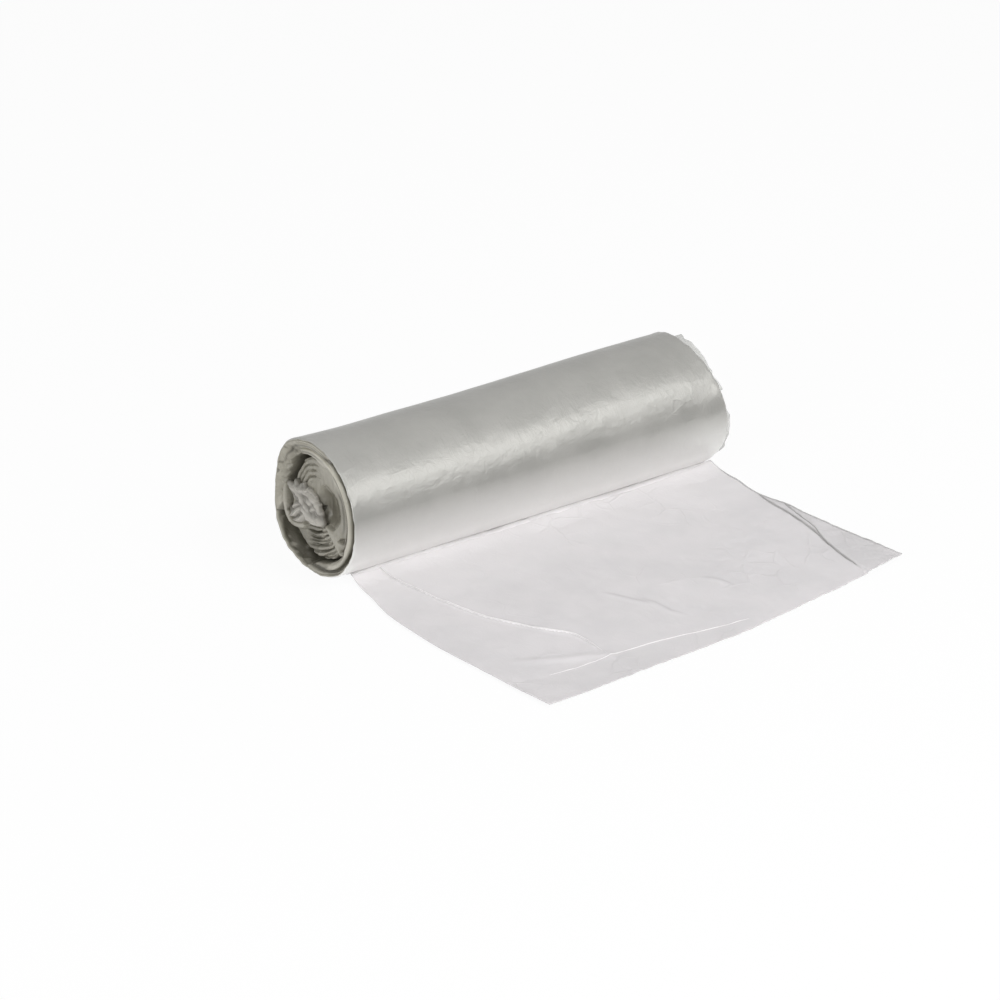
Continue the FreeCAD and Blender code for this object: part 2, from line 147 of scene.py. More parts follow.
@dataclass
class Shading:
    """The nodes of one material or of the world, with short ways to add the usual ones."""

    tree: bpy.types.NodeTree

    @classmethod
    def of(cls, owner: bpy.types.Material | bpy.types.World) -> "Shading":
        """Empties the nodes of a material or a world.

        Args:
            owner: the material or the world.

        Returns:
            The shading that fills them.
        """
        owner.use_nodes = True
        owner.node_tree.nodes.clear()
        return cls(owner.node_tree)

    def add(self, kind: str) -> Node:
        """A new node of a kind, as Blender makes it."""
        return self.tree.nodes.new(kind)

    def fill(self, node: Node, inputs: dict[str | int, object]) -> Node:
        """Sets or joins the inputs of a node.

        Args:
            node: the node.
            inputs: what its sockets get, by name or number: a value or another node's socket.

        Returns:
            The same node.
        """
        for name, given in inputs.items():
            if isinstance(given, Socket):
                self.tree.links.new(given, node.inputs[name])
            else:
                node.inputs[name].default_value = given
        return node

    def noise(self, place: Socket, size: float, detail: float, rough: float, twist: float = 0.0) -> Node:
        """One noise texture.

        Args:
            place: the coordinates.
            size: width of its swells in millimetres.
            detail: octaves of finer noise.
            rough: how much the finer octaves count.
            twist: how much it is distorted.

        Returns:
            The texture node.
        """
        settings = {"Vector": place, "Scale": 1.0 / MM / size, "Detail": detail, "Roughness": rough}
        return self.fill(self.add("ShaderNodeTexNoise"), {**settings, "Distortion": twist})

    def spread(
        self, value: Socket, low: float, high: float, to: Point = (0.0, 1.0), smooth: bool = True
    ) -> Socket:
        """A value stretched so that one span of it becomes another.

        Args:
            value: the value.
            low: start of its span.
            high: end of its span.
            to: the new span.
            smooth: whether the stretch eases in and out.

        Returns:
            The stretched value.
        """
        made = self.add("ShaderNodeMapRange")
        made.interpolation_type = "SMOOTHSTEP" if smooth else "LINEAR"
        ends = {"From Min": low, "From Max": high, "To Min": to[0], "To Max": to[1]}
        return self.fill(made, {"Value": value, **ends}).outputs["Result"]

    def calculated(self, operation: str, first: Socket, second: Socket | float) -> Socket:
        """Works out one sum on two values.

        Args:
            operation: the sum's name in Blender.
            first: the first value.
            second: the second value.

        Returns:
            The result.
        """
        made = self.add("ShaderNodeMath")
        made.operation = operation
        return self.fill(made, {0: first, 1: second}).outputs["Value"]

    def mixed(self, share: Socket, first: Socket | Sequence[float], second: Place) -> Socket:
        """A colour part of the way from a first one to a second.

        Args:
            share: how far, from nought to one.
            first: the first colour.
            second: the second colour.

        Returns:
            The new colour.
        """
        made = self.add("ShaderNodeMix")
        made.data_type = "RGBA"
        return self.fill(made, {"Factor": share, "A": first, "B": (*second, 1.0)}).outputs["Result"]

    def bumped(self, height: Socket, strength: float, distance: float, under: Socket | None = None) -> Socket:
        """A surface that a height roughens.

        Args:
            height: the height.
            strength: how much of it shows.
            distance: the height that one stands for, in metres.
            under: the rough surface that it lies on.

        Returns:
            The surface's normal.
        """
        made = self.add("ShaderNodeBump")
        self.fill(made, {"Height": height, "Strength": strength, "Distance": distance})
        return self.fill(made, {} if under is None else {"Normal": under}).outputs["Normal"]

    def coloured(self, kind: str, grey: float, strength: float | None = None) -> Socket:
        """A shader of one plain grey, shining more or less where a strength is given."""
        made = self.fill(self.add(kind), {"Color": (grey, grey, grey, 1.0)})
        return self.fill(made, {} if strength is None else {"Strength": strength}).outputs[0]

    def blended(self, share: Socket, first: Socket, second: Socket) -> Socket:
        """A first shader that gives way to a second by a share."""
        made = self.add("ShaderNodeMixShader")
        return self.fill(made, {"Fac": share, 1: first, 2: second}).outputs["Shader"]

    def finish(self, kind: str, surface: Socket) -> None:
        """Joins the last shader to an output of a kind."""
        self.fill(self.add(kind), {"Surface": surface})


@dataclass(frozen=True)
class FilmFinish:
    """Thin hazy polyethylene film: its colour, its sheen and the crinkles in it, with painted light and
    painted shade where they are given, sizes in millimetres.
    """

    name: str
    colour: Place
    shade: Place
    roughness: float = 0.34
    specular: float = 0.6
    haze_size: float = 34.0
    crinkle: float = 0.25
    crinkle_size: float = 9.0
    crease: float = 0.3
    crease_size: float = 26.0
    crease_width: float = 0.05
    patch_size: float = 55.0
    bend: float = 0.022
    bend_size: float = 40.0
    clear: float = 0.0
    mirror: float = 0.0
    # painted light: a paler colour that the film takes along one axis, toward the floor on the roll and
    # toward the roll on the drawn bag
    painted_light_colour: Place | None = None
    painted_light_axis: str = "Z"
    painted_light_span: Point = (0.045, 0.016)
    # painted shade: a darker colour by the mesh attribute, and on the drawn bag also a greyer tone
    shade_and_grey_colour: Place | None = None
    streak: float = 0.0
    streak_size: float = 5.0
    streak_patch: float = 30.0

    def material(self) -> Film:
        """The film's material, with its crinkles as bump, its haze as colour, and where given a paler colour
        painted in as light and a darker colour painted in as shade.

        Returns:
            The new material.
        """
        made = bpy.data.materials.new(self.name)
        nodes = Shading.of(made)
        place = nodes.add("ShaderNodeTexCoord").outputs["Object"]
        haze = nodes.noise(place, self.haze_size, 3.0, 0.6).outputs["Fac"]
        tint = nodes.mixed(nodes.spread(haze, 0.32, 0.68), (*self.shade, 1.0), self.colour)
        # Painted light: the film turns paler along one axis.
        if self.painted_light_colour is not None:
            split = nodes.fill(nodes.add("ShaderNodeSeparateXYZ"), {"Vector": place})
            share = nodes.spread(split.outputs[self.painted_light_axis], *self.painted_light_span, smooth=False)
            tint = nodes.mixed(share, tint, self.painted_light_colour)
        # Painted shade by the mesh attribute.
        if self.shade_and_grey_colour is not None:
            deep = nodes.add("ShaderNodeAttribute")
            deep.attribute_name = SHADE_AND_GREY
            tint = nodes.mixed(deep.outputs["Fac"], tint, self.shade_and_grey_colour)
        rough = self.creased(nodes, place)
        if self.streak:
            rough = self.streaked(nodes, place, rough)
        gloss = (self.roughness - 0.05, self.roughness + 0.06)
        look = {
            "Base Color": tint,
            "Roughness": nodes.spread(haze, 0.3, 0.7, gloss, smooth=False),
            "Normal": rough,
            "Specular IOR Level": self.specular,
            "IOR": 1.5,
            "Metallic": self.mirror,
            "Alpha": 1.0 - self.clear,
        }
        film = nodes.fill(nodes.add("ShaderNodeBsdfPrincipled"), look)
        nodes.finish("ShaderNodeOutputMaterial", film.outputs["BSDF"])
        return made

    def creased(self, nodes: Shading, place: Socket) -> Socket:
        """The fine crinkles, with patches of sharp creases on them.

        Args:
            nodes: the material's nodes.
            place: the coordinates.

        Returns:
            The surface's normal.
        """
        fine = nodes.noise(place, self.crinkle_size, 5.0, 0.62, 0.7).outputs["Fac"]
        crinkled = nodes.bumped(fine, self.crinkle, 0.0012)
        bent = nodes.add("ShaderNodeVectorMath")
        bent.operation = "MULTIPLY_ADD"
        bend = nodes.noise(place, self.bend_size, 2.0, 0.5).outputs["Color"]
        nodes.fill(bent, {0: bend, 1: (self.bend,) * 3, 2: place})
        cells = nodes.add("ShaderNodeTexVoronoi")
        cells.feature = "DISTANCE_TO_EDGE"
        nodes.fill(cells, {"Vector": bent.outputs["Vector"], "Scale": 1.0 / MM / self.crease_size})
        lines = nodes.spread(cells.outputs["Distance"], 0.0, self.crease_width, (1.0, 0.0))
        patch = nodes.spread(nodes.noise(place, self.patch_size, 2.0, 0.5).outputs["Fac"], 0.5, 0.62)
        return nodes.bumped(nodes.calculated("MULTIPLY", lines, patch), self.crease, 0.0006, crinkled)

    def streaked(self, nodes: Shading, place: Socket, under: Socket) -> Socket:
        """Adds the short pulls that run round the roll.

        Args:
            nodes: the material's nodes.
            place: the coordinates.
            under: the rough surface that they lie on.

        Returns:
            The surface's normal.
        """
        pulled = nodes.fill(
            nodes.add("ShaderNodeMapping"),
            {"Vector": place, "Scale": (1.0, 0.22, 0.22), "Rotation": (0.0, 0.35, 0.2)},
        ).outputs["Vector"]
        lines = nodes.noise(pulled, self.streak_size, 3.0, 0.55, 0.5).outputs["Fac"]
        patch = nodes.spread(nodes.noise(place, self.streak_patch, 2.0, 0.5).outputs["Fac"], 0.42, 0.62)
        return nodes.bumped(nodes.calculated("MULTIPLY", lines, patch), self.streak, 0.001, under)


def marked(bm: Shape, share_of: Callable[[Vector], float]) -> None:
    """Writes each point's share of a finish's colour of painted shade and greyer tone, from nought to one.

    Args:
        bm: the shape, in millimetres.
        share_of: gives a point's share.
    """
    layer = bm.verts.layers.float.new(SHADE_AND_GREY)
    for vert in bm.verts:
        vert[layer] = held(share_of(vert.co))


def faced(bm: Shape, way: Place) -> None:
    """Turns the faces of an open shape to look one way on the whole.

    Args:
        bm: the shape.
        way: the way that they look.
    """
    bmesh.ops.recalc_face_normals(bm, faces=bm.faces)
    if sum(face.normal.dot(Vector(way)) for face in bm.faces) < 0:
        bmesh.ops.reverse_faces(bm, faces=bm.faces)


def placed(bm: Shape, name: str, *finishes: Film) -> Piece:
    """Turns a bmesh into an object of the scene, and frees it.

    Args:
        bm: the shape, in metres.
        name: the object's name.
        finishes: its materials, which its faces name by index.

    Returns:
        The new object.
    """
    mesh = bpy.data.meshes.new(name)
    bm.to_mesh(mesh)
    bm.free()
    for finish in finishes:
        mesh.materials.append(finish)
    made = bpy.data.objects.new(name, mesh)
    bpy.context.scene.collection.objects.link(made)
    return made


def dressed(bm: Shape, name: str, *finishes: Film) -> Piece:
    """Turns a finished bmesh into a piece that rides on the roll and stands for its solid.

    Args:
        bm: the shape, in millimetres, which is freed here.
        name: the piece's name.
        finishes: its materials, which its faces name by index.

    Returns:
        The new object.
    """
    bmesh.ops.scale(bm, vec=(MM, MM, MM), verts=bm.verts)
    piece = placed(bm, name, *finishes)
    piece.data.shade_smooth()
    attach(piece, "root")
    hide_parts(NODE)
    LOG.info("%s: %d faces", name, len(piece.data.polygons))
    return piece


def chain(bm: Shape, points: Sequence[Vector], cuts: Sequence[int]) -> None:
    """A line of edges through a few points, each run then divided.

    Args:
        bm: the bmesh that takes the line.
        points: the line's corners.
        cuts: how many cuts each run gets.
    """
    verts = [bm.verts.new(point) for point in points]
    edges = [bm.edges.new(pair) for pair in zip(verts, verts[1:])]
    for edge, count in zip(edges, cuts):
        if count:
            bmesh.ops.subdivide_edges(bm, edges=[edge], cuts=count)


def spun(bm: Shape, centre: Vector, steps: int) -> None:
    """Spins everything in a bmesh all the way round a line along X.

    Args:
        bm: the bmesh that holds the outline.
        centre: a point on the line.
        steps: faces round the turn.
    """
    bmesh.ops.spin(
        bm,
        geom=bm.verts[:] + bm.edges[:],
        cent=centre,
        axis=(1.0, 0.0, 0.0),
        angle=2 * math.pi,
        steps=steps,
        use_merge=True,
    )
    bmesh.ops.remove_doubles(bm, verts=bm.verts, dist=1e-4)
    bmesh.ops.recalc_face_normals(bm, faces=bm.faces)


@dataclass
class RollForm:
    """The sizes that the roll's pieces share, in millimetres."""

    length: float = 254.0
    radius: float = 38.85
    rest_half: float = 7.5
    flare: float = 4.2

    @property
    def axis(self) -> float:
        """Height of the roll's axis above the floor."""
        return math.sqrt(self.radius**2 - self.rest_half**2)

    @property
    def half(self) -> float:
        """Half the roll's length."""
        return self.length / 2

    def polar(self, place: Vector) -> tuple[float, float]:
        """Distance from the axis of a place, and its bearing from the front round by the top."""
        up = place.z - self.axis
        return math.hypot(place.y, up), math.atan2(up, -place.y)

    def point(self, x: float, out: float, bearing: float) -> Vector:
        """The point at a distance from the axis and a bearing."""
        return Vector((x, -out * math.cos(bearing), self.axis + out * math.sin(bearing)))

    def mouth(self, bearing: float) -> float:
        """How far the near end's mouth is pushed out of round at a bearing."""
        pushed = self.flare * lobe(bearing, -142.0, 30.0) - lobe(bearing, 178.0, 30.0)
        return pushed + 1.3 * lobe(bearing, 132.0, 26.0)

    def slant(self, side: Side, bearing: float) -> float:
        """How far an end's edge stands off along X at a bearing."""
        return -8.0 * lobe(bearing, 82.0, 46.0) if side is Side.FAR else -0.8 * lobe(bearing, 122.0, 22.0)


@dataclass
class WoundFilm:
    """The outside of the roll: its outermost turns, with the lip that they form at each end."""

    form: RollForm
    finish: Film
    inner_finish: Film
    wall: float = 1.4
    lip_depth: float = 17.0
    around: int = 300
    lengthways: int = 150
    lip_steps: int = 14
    slack: float = 0.35

    def build(self) -> Piece:
        """Builds the tube of outer turns.

        Returns:
            The piece.
        """
        form = self.form
        bm = bmesh.new()
        inner, outer = form.radius - self.wall, form.radius
        lip = (
            (self.lip_depth, inner), (0.5, inner), (0.0, (inner + outer) / 2), (0.4, outer - 0.2),
            (1.2, outer),
        )
        corners = [form.point(inward - form.half, out, math.pi / 2) for inward, out in lip]
        corners += [form.point(form.half - inward, out, math.pi / 2) for inward, out in reversed(lip)]
        chain(bm, corners, [self.lip_steps, 0, 0, 0, self.lengthways, 0, 0, 0, self.lip_steps])
        spun(bm, Vector((0.0, 0.0, form.axis)), self.around)
        for face in bm.faces:
            out, _ = form.polar(face.calc_center_median())
            face.material_index = 1 if out < outer - 0.5 else 0
        # Painted shade inside the mouth of each end.
        marked(bm, self.painted_shade_inside)
        for vert in bm.verts:
            vert.co = self.settled(vert.co)
        bmesh.ops.recalc_face_normals(bm, faces=bm.faces)
        return dressed(bm, "roll_film", self.finish, self.inner_finish)

    def painted_shade_inside(self, place: Vector) -> float:
        """How much painted shade a point of the true tube gets inside the mouth of an end: darker further in,
        with a painted lit patch and lighter flecks on the lower back.

        Args:
            place: the point in millimetres.

        Returns:
            The share, from nought at the lip.
        """
        _, bearing = self.form.polar(place)
        low_back = lobe(bearing, -132.0, 36.0)
        inward = self.form.half - abs(place.x)
        dark = held((inward - 0.7) / (9.0 - 7.4 * low_back))
        lit = lobe(bearing, -121.0, 19.0) * ease(2.2, 4.5, inward) * ease(11.0, 7.0, inward)
        lit *= 0.5 + 0.5 * ease(-0.2, 0.3, wobble(place, 6.0, 12.0))
        flecks = 0.6 * low_back * ease(0.25, 0.5, wobble(place, 3.6, 16.0))
        return 0.3 + 0.7 * dark - 0.42 * lit - flecks * dark

    def settled(self, place: Vector) -> Vector:
        """Where a point of the true tube lies once the film is slack, wrinkled and at rest.

        Args:
            place: the point on the true tube.

        Returns:
            The point on the real one.
        """
        form = self.form
        half = form.half
        out, bearing = form.polar(place)
        swell = self.slack * math.sin(2 * bearing + 0.6)
        swell += self.slack * wobble(place, 60.0, 4.0)
        swell += 0.1 * wobble((place.x * 0.45, bearing * form.radius, 0.0), 9.0, 1.0)
        swell += ease(-half + 34.0, -half, place.x) * form.mouth(bearing)
        swell += 2.7 * ease(-30.0, 80.0, place.x) * lobe(bearing, 82.0, 52.0)
        swell -= 1.2 * ease(half - 26.0, half, place.x) * lobe(bearing, 60.0, 40.0)
        ripple = 0.5 * wobble(circled(bearing, 40.0, place.x), 7.0, 2.0)
        swell += ripple * ease(half - 9.0, half, abs(place.x))
        moved = form.point(place.x, out + swell, bearing)
        ragged = 0.8 * wobble(circled(bearing), 11.0, 6.0) + 0.45 * wobble(circled(bearing), 3.5, 9.0)
        outward = math.copysign(ease(half - 6.0, half, abs(place.x)), place.x)
        moved.x += outward * (abs(ragged) - 0.6)
        moved.x += ease(half - 70.0, half, place.x) * form.slant(Side.FAR, bearing)
        moved.x += 2.0 * ease(half - 20.0, half, place.x) * lobe(bearing, -18.0, 26.0)
        moved.x += ease(half - 30.0, half, -place.x) * form.slant(Side.NEAR, bearing)
        moved.z = max(moved.z, 0.02)
        return moved


@dataclass(frozen=True)
class Stroke:
    """A line drawn on an end face: a dark gap between two turns, or the edge of a fold that stands up."""

    points: Line
    half: float
    depth: float
    taper: float = 0.25

    def gap(self, spot: Point, share: float) -> float:
        """Distance of a spot from the point at a share of the line's way, a curve with one bend."""
        weights = ((1 - share) ** 2, 2 * share * (1 - share), share * share)
        return math.dist(spot, [sum(map(math.prod, zip(weights, values))) for values in zip(*self.points)])

    def reach(self, across: float, up: float) -> float:
        """How strongly the line acts at a place.

        Args:
            across: distance in front of the axis.
            up: distance above the axis.

        Returns:
            One on the line, nought well off it.
        """
        margin = 2.5 * self.half
        for value, ends in zip((across, up), zip(*self.points)):
            if not min(ends) - margin < value < max(ends) + margin:
                return 0.0
        best, t = min((self.gap((across, up), k / 8), k / 8) for k in range(9))
        for step in (1 / 16, 1 / 32, 1 / 64, 1 / 128):
            for tried in (held(t - step), held(t + step)):
                gap = self.gap((across, up), tried)
                if gap < best:
                    best, t = gap, tried
        full = ease(0.0, self.taper, t) * ease(0.0, self.taper, 1.0 - t)
        return hump(best, self.half * (0.25 + 0.75 * full))


@dataclass
class EndTurns:
    """The face of one end inside the lip: the rim's layers, the wound pack and its hollow middle."""

    form: RollForm
    finish: Film
    side: Side
    reach: float = 37.6
    rings: int = 150
    around: int = 420
    deep: float = 17.0
    lean: float = 0.0
    rim_inner: Line = (
        (0, 25.4), (30, 25.8), (60, 28), (90, 28.8), (120, 30.8), (150, 31.2),
        (175, 31.8), (193, 33.8), (204, 37.6), (240, 38.4), (254, 37), (270, 32.4),
        (300, 30.4), (330, 27), (360, 25.4),
    )
    pack_outer: Line = (
        (0, 25), (45, 26.5), (70, 28.5), (90, 28.4), (120, 27.4), (150, 26.4),
        (180, 26.8), (206, 31), (240, 31.8), (262, 31.4), (285, 30.2), (310, 27),
        (340, 25.2), (360, 25),
    )
    # Painted shade lines in the gaps between bundles of turns, and painted highlights where the share is
    # below nought: middle radius, half width, first bearing, last bearing, share.
    shade_lines_and_highlights: tuple[tuple[float, ...], ...] = (
        (35.1, 0.9, -104, 72, 0.9), (28.2, 0.7, -30, 66, 0.6), (21.6, 1, -24, 40, 0.4),
        (34.5, 0.5, 68, 150, 0.5), (31.2, 0.5, 78, 118, 0.45), (28.6, 0.4, 84, 116, 0.3),
        (32.4, 1.3, -80, 68, -0.3), (32.9, 0.8, 74, 116, -0.3), (24.9, 1.1, -20, 60, -0.15),
    )
    gaps: tuple[Stroke, ...] = ()
    folds: tuple[Stroke, ...] = ()

    def build(self) -> Piece:
        """Builds the face as a finely divided disc pushed in and out.

        Returns:
            The piece.
        """
        form = self.form
        bm = bmesh.new()
        x = self.side.value * form.half
        chain(bm, [form.point(x, 0.0, 0.0), form.point(x, self.reach, 0.0)], [self.rings - 1])
        spun(bm, Vector((0.0, 0.0, form.axis)), self.around)
        layer = bm.verts.layers.float.new(SHADE_AND_GREY)
        for vert in bm.verts:
            out, bearing = form.polar(vert.co)
            across, up = out * math.cos(bearing + self.lean), out * math.sin(bearing + self.lean)
            depth = self.depth(across, up)
            flare = form.mouth(bearing) if self.side is Side.NEAR else 0.0
            out += flare * ease(33.0, 37.0, out) * ease(34.0, 0.0, depth)
            pulled = ease(24.0, 37.0, out) * form.slant(self.side, bearing)
            rim_edge = self.read(self.rim_inner, math.degrees(bearing + self.lean) % 360.0)
            in_rim = ease(rim_edge - 1.0, 34.0, out)
            # Painted shade: darker the deeper the face lies, more steeply within the rim, plus painted shade
            # lines and highlights.
            shade = (depth - 1.8) / 13.0 + in_rim * ((depth - 1.6) / 6.5 - (depth - 1.8) / 13.0)
            vert[layer] = held(0.3 + 0.7 * held(shade) + self.painted_shade_and_highlight(across, up))
            vert.co = form.point(self.side.value * (form.half - depth) + pulled, out, bearing)
            vert.co.z = max(vert.co.z, 0.4)
        faced(bm, (self.side.value, 0.0, 0.0))
        return dressed(bm, f"end_turns_{self.side.name.lower()}", self.finish)

    @staticmethod
    def read(table: Sequence[Point], degrees: float) -> float:
        """The radius at a bearing, from a table of bearings from 0 to 360 degrees and radii."""
        for (low, first), (high, second) in zip(table, table[1:]):
            if degrees <= high:
                return first + (second - first) * ease(low, high, degrees)
        return table[-1][1]

    @staticmethod
    def polar(across: float, up: float) -> Point:
        """Distance of a spot from the axis, and its bearing from 0 to 360 degrees."""
        return math.hypot(across, up), math.degrees(math.atan2(up, across)) % 360.0

    @staticmethod
    def window(degrees: float, start: float, end: float, soft: float) -> float:
        """One between two bearings, nought outside them, with soft ends.

        Args:
            degrees: the bearing from 0 to 360.
            start: first bearing.
            end: last bearing, more than start and perhaps past 360.
            soft: width of each soft end.

        Returns:
            The weight.
        """
        middle, half = (start + end) / 2, (end - start) / 2
        away = abs((degrees - middle + 180.0) % 360.0 - 180.0)
        return 1.0 - ease(half - soft, half + soft, away)

    def painted_shade_and_highlight(self, across: float, up: float) -> float:
        """Painted shade in the thin gaps between the bundles of turns, painted highlights on some bundles,
        and painted shade spots on the crumpled upper-left rim.

        Args:
            across: distance in front of the axis.
            up: distance above the axis.

        Returns:
            The share to add.
        """
        out, degrees = self.polar(across, up)
        wave = 0.5 * wobble((across, up, 0.0), 12.0, 2.0)
        dark = 0.0
        for middle, half, start, end, share in self.shade_lines_and_highlights:
            dark += share * hump(out + wave - middle, half) * self.window(degrees, start, end, 10.0)
        # Painted shade spots on the crumpled upper-left rim.
        spots = ease(0.28, 0.5, wobble((across, up, 4.0), 3.4, 15.0))
        return dark + 0.5 * spots * self.window(degrees, 124.0, 236.0, 12.0) * ease(30.5, 32.0, out)

    def rim(self, across: float, up: float) -> float:
        """Depth of the rim's layers.

        Args:
            across: distance in front of the axis.
            up: distance above the axis.

        Returns:
            The depth.
        """
        (out, degrees), round_ = self.polar(across, up), (across, up, 0.0)
        wave = 0.35 * wobble(round_, 12.0, 2.0)
        groove = 2.2 * hump(out + 0.6 * wave - 35.3, 0.9)
        ring = 0.8 + 0.24 * (out + wave - 32.2) ** 2
        inner_ring = 2.8 + 0.5 * (out + 0.7 * wave - 27.6) ** 2
        between = 2.4 * hump(out + wave - 29.0, 0.7)
        front = min(ring, inner_ring, 6.5) + groove + between
        top = 0.3 + 1.0 * hump(out + wave - 36.0, 0.35)
        top += 0.6 * ease(36.2, 35.4, out) + 1.8 * hump(out + wave - 33.2, 0.42)
        top += 0.09 * (out - 31.0) ** 2 * (1.0 - ease(31.0, 32.6, out))
        crumple = 5.5 * abs(wobble(round_, 8.0, 7.0)) + 2.2 * abs(wobble(round_, 3.6, 3.0)) - 0.4
        funnel = 0.2 + 0.45 * max(0.0, 37.4 - out) + crumple * ease(37.6, 34.5, out)
        smooth = 0.6 + 0.8 * max(0.0, 36.0 - out) + 0.6 * groove + 0.5 * crumple * ease(36.0, 33.0, out)
        low_right = 0.7 + 0.2 * (out - 34.2) ** 2 + groove
        weights = (
            (self.window(degrees, -34.0, 64.0, 8.0), front),
            (self.window(degrees, 64.0, 118.0, 10.0), top),
            (self.window(degrees, 118.0, 252.0, 10.0), funnel),
            (self.window(degrees, 252.0, 284.0, 10.0), smooth),
            (self.window(degrees, 284.0, 326.0, 10.0), low_right),
        )
        total = sum(weight for weight, _ in weights)
        return sum(weight * depth for weight, depth in weights) / total

    def pack(self, across: float, up: float) -> float:
        """Depth of the wound pack with its hollow middle.

        Args:
            across: distance in front of the axis.
            up: distance above the axis.

        Returns:
            The depth.
        """
        (out, degrees), round_ = self.polar(across, up), (across, up, 0.0)
        depth = 5.2 + 0.7 * wobble(round_, 15.0, 8.0)
        depth -= 1.6 * self.window(degrees, 40.0, 92.0, 14.0) * ease(14.0, 27.0, out)
        depth += 0.06 * (out - 20.0) * self.window(degrees, 120.0, 200.0, 20.0)
        upper = self.window(degrees, 98.0, 175.0, 16.0) * ease(13.0, 17.0, out)
        upper *= 0.45 + 0.55 * ease(-0.3, 0.2, wobble(round_, 5.0, 11.0))
        phase = (out + 1.1 * wobble(round_, 7.0, 4.0)) / 3.1
        depth += upper * 1.7 * (0.5 - 0.5 * math.cos(2 * math.pi * phase)) ** 4
        lower = ease(-9.0, -13.0, up) * ease(-15.0, -9.0, across) * ease(17.0, 9.0, across)
        curve = 0.42 * across + 0.016 * across * across
        phase = (up - curve + 0.9 * wobble(round_, 6.0, 6.0)) / 2.9
        depth += lower * 1.5 * (0.5 + 0.5 * math.cos(2 * math.pi * (phase + 0.2))) ** 3
        wide, tall = 14.0 if across > 5.5 else 10.5, 15.0 if up > 0.5 else 12.0
        bowl = 1.0 - ease(0.4, 1.0, math.hypot((across - 5.5) / wide, (up - 0.5) / tall))
        depth += 4.8 * bowl
        depth += 0.5 * wobble((across * 2.2, up * 0.5, 3.0), 6.0, 2.0)
        depth += 0.7 * bowl * wobble((across * 2.6, up * 0.35, 5.0), 5.0, 3.0)
        return depth

    def depth(self, across: float, up: float) -> float:
        """How deep the face lies below the lip.

        Args:
            across: distance in front of the axis.
            up: distance above the axis.

        Returns:
            The depth in millimetres.
        """
        (out, degrees), round_ = self.polar(across, up), (across, up, 0.0)
        rim_edge = self.read(self.rim_inner, degrees) + 1.6 * wobble(round_, 9.0, 1.0)
        pack_edge = self.read(self.pack_outer, degrees) + 0.5 * wobble(round_, 9.0, 5.0)
        depth = self.deep - 7.0 * ease(0.05, 0.55, wobble(round_, 7.0, 13.0)) * ease(-4.0, -14.0, up)
        if out < rim_edge:
            inside = 1.0 - ease(pack_edge - 0.6, pack_edge + 0.5, out)
            depth += (self.pack(across, up) - depth) * inside
        kept = ease(rim_edge - 0.7, rim_edge + 0.3, out)
        depth += (self.rim(across, up) - depth) * kept
        for gap in self.gaps:
            depth += gap.depth * gap.reach(across, up)
        for fold in self.folds:
            share = fold.reach(across, up)
            if share > 0.02:
                depth = min(depth, depth + (fold.depth - depth) * held(1.5 * share))
        wall = ease(self.reach - 0.5, self.reach, out)
        return depth + (self.deep - depth) * wall


@dataclass(frozen=True)
class Ridge:
    """A crease that stands up in crushed film, gentle on the left of its way and steep on the right."""

    line: Line
    height: float
    gentle: float = 0.45
    steep: float = 1.3

    def lift(self, across: float, up: float) -> float:
        """Height of the crease and of the film that falls away from it.

        Args:
            across: distance in front of the axis.
            up: distance above the axis.

        Returns:
            The height in millimetres, less than nought well away.
        """
        side, share, gap = off_line(self.line, across, up)
        fall = self.gentle if side > 0 else self.steep
        return self.height * (0.55 + 0.45 * ease(0.0, 0.3, share) * ease(0.0, 0.3, 1.0 - share)) - fall * gap


